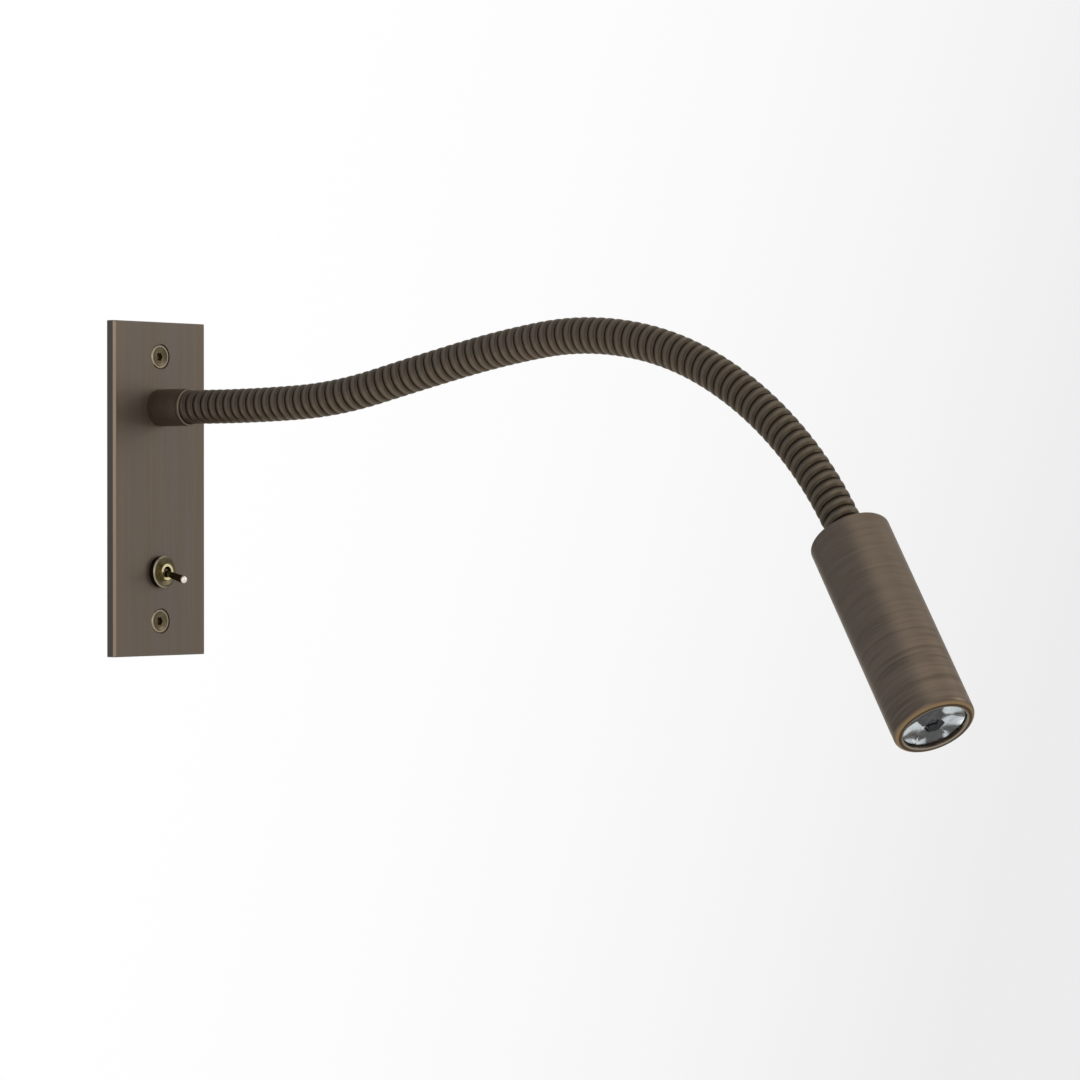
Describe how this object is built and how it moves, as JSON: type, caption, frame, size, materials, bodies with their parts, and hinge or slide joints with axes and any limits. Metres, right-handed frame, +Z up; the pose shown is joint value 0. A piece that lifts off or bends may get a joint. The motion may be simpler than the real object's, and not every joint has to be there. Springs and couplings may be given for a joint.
{
  "type": "wall reading lamp",
  "caption": "Slim bedside reading lamp: upright wall plate with a toggle switch and a posable gooseneck that carries a cylindrical LED head.",
  "frame": {"origin": "centre of the wall plate's back face, which lies on the wall", "axes": "+Z up, +Y into the wall (the lamp stands out along -Y), +X to the right as seen facing the wall"},
  "size_m": [0.0736, 0.4255, 0.1523],
  "materials": {
    "plate_bronze": "upright brushing, antique bronze lacquer",
    "head_bronze": "lathe-turned rings, antique bronze lacquer",
    "neck_bronze": "antique bronze plating, drawn along the band",
    "dark_bronze": "very dark bronze, satin",
    "antique_brass": "antique brass, worn bright on the edges",
    "bright_brass": "bright brass plating",
    "bare_brass": "plain",
    "plated_steel": "zinc plated",
    "bare_aluminium": "as turned",
    "lead_sheath": "matt sheath",
    "core_insulation": "matt insulation",
    "foam_pad": "foam tape",
    "block_plastic": "moulded",
    "switch_plastic": "moulded",
    "thermal_rubber": "thermal pad",
    "emitter_silicone": "domed silicone",
    "holder_plastic": "moulded",
    "clear_optic": "polished clear optic"
  },
  "bodies": {
    "wall_unit": {"back_plate": "plate_bronze", "fixing_screws": "antique_brass", "neck_ferrule": "dark_bronze", "neck_nipple": "plated_steel", "nipple_washer": "plated_steel", "nipple_nut": "plated_steel", "neck_lead": "lead_sheath", "lead_tails": "core_insulation", "block_pad": "foam_pad", "terminal_block": "block_plastic", "terminal_inserts": "bare_brass", "terminal_screws": "plated_steel", "switch_bushing": "bright_brass", "switch_dress_nut": "antique_brass", "switch_key_washer": "plated_steel", "switch_back_nut": "plated_steel", "switch_case": "switch_plastic", "switch_terminals": "bare_brass", "switch_wires": "core_insulation", "neck_winding_01": "neck_bronze"},
    "toggle": {"switch_lever": "antique_brass"},
    "contact": {"switch_rocker": "bare_brass"},
    "neck_02": {"neck_winding_02": "neck_bronze"},
    "neck_03": {"neck_winding_03": "neck_bronze"},
    "neck_04": {"neck_winding_04": "neck_bronze"},
    "neck_05": {"neck_winding_05": "neck_bronze"},
    "neck_06": {"neck_winding_06": "neck_bronze"},
    "neck_07": {"neck_winding_07": "neck_bronze"},
    "neck_08": {"neck_winding_08": "neck_bronze"},
    "neck_09": {"neck_winding_09": "neck_bronze"},
    "head": {"neck_winding_10": "neck_bronze", "head_fitting": "plated_steel", "head_cap": "head_bronze", "head_washer": "plated_steel", "head_nut": "plated_steel", "head_shell": "head_bronze", "retaining_ring": "plated_steel", "heat_sink": "bare_aluminium", "thermal_pad": "thermal_rubber", "led_board": "bare_aluminium", "led_emitter": "emitter_silicone", "board_screws": "plated_steel", "solder_joints": "plated_steel", "head_cores": "core_insulation", "lens_holder": "holder_plastic", "collimator_lens": "clear_optic"}
  },
  "joints": [
    {"name": "neck_lift_1", "type": "hinge", "parent": "wall_unit", "child": "neck_02", "pos_m": [0, -0.0365, 0.0316], "axis": [-1, 0, 0], "range_deg": [-20, 20], "deforming": ["neck_lead"]},
    {"name": "neck_swing_1", "type": "hinge", "parent": "neck_02", "child": "neck_03", "pos_m": [0.00052, -0.07648, 0.03247], "axis": [-0.0006, 0.0436, 0.999], "range_deg": [-20, 20], "deforming": ["neck_lead"]},
    {"name": "neck_lift_2", "type": "hinge", "parent": "neck_03", "child": "neck_04", "pos_m": [0.0026, -0.11597, 0.03803], "axis": [-0.9969, -0.0779, 0.0078], "range_deg": [-20, 20], "deforming": ["neck_lead"]},
    {"name": "neck_swing_2", "type": "hinge", "parent": "neck_04", "child": "neck_05", "pos_m": [0.00484, -0.15492, 0.04685], "axis": [-0.0091, 0.2077, 0.9782], "range_deg": [-20, 20], "deforming": ["neck_lead"]},
    {"name": "neck_lift_3", "type": "hinge", "parent": "neck_05", "child": "neck_06", "pos_m": [0.00448, -0.19437, 0.05327], "axis": [-0.9986, 0.0507, -0.0158], "range_deg": [-20, 20], "deforming": ["neck_lead"]},
    {"name": "neck_swing_3", "type": "hinge", "parent": "neck_06", "child": "neck_07", "pos_m": [0.00258, -0.2342, 0.0525], "axis": [-0.0225, -0.1494, 0.9885], "range_deg": [-20, 20], "deforming": ["neck_lead"]},
    {"name": "neck_lift_4", "type": "hinge", "parent": "neck_07", "child": "neck_08", "pos_m": [-0.00041, -0.27234, 0.04126], "axis": [-0.9935, 0.1137, 0.0042], "range_deg": [-20, 20], "deforming": ["neck_lead"]},
    {"name": "neck_swing_4", "type": "hinge", "parent": "neck_08", "child": "neck_09", "pos_m": [-0.00511, -0.30631, 0.02085], "axis": [-0.0701, -0.6043, 0.7937], "range_deg": [-20, 20], "deforming": ["neck_lead"]},
    {"name": "neck_lift_5", "type": "hinge", "parent": "neck_09", "child": "head", "pos_m": [-0.01222, -0.33497, -0.00602], "axis": [-0.969, 0.2261, 0.0992], "range_deg": [-20, 20], "deforming": ["neck_lead"]},
    {"name": "switch_throw", "type": "hinge", "parent": "wall_unit", "child": "toggle", "pos_m": [0, -0.0056, -0.0323], "axis": [-1, 0, 0], "range_deg": [0, 30]},
    {"name": "contact_tip", "type": "hinge", "parent": "wall_unit", "child": "contact", "pos_m": [0, 0.004, -0.0323], "axis": [-1, 0, 0], "range_deg": [-16, 0]}
  ],
  "couplings": [
    {"joint": "contact_tip", "follows": "switch_throw", "ratio": -0.53333}
  ]
}
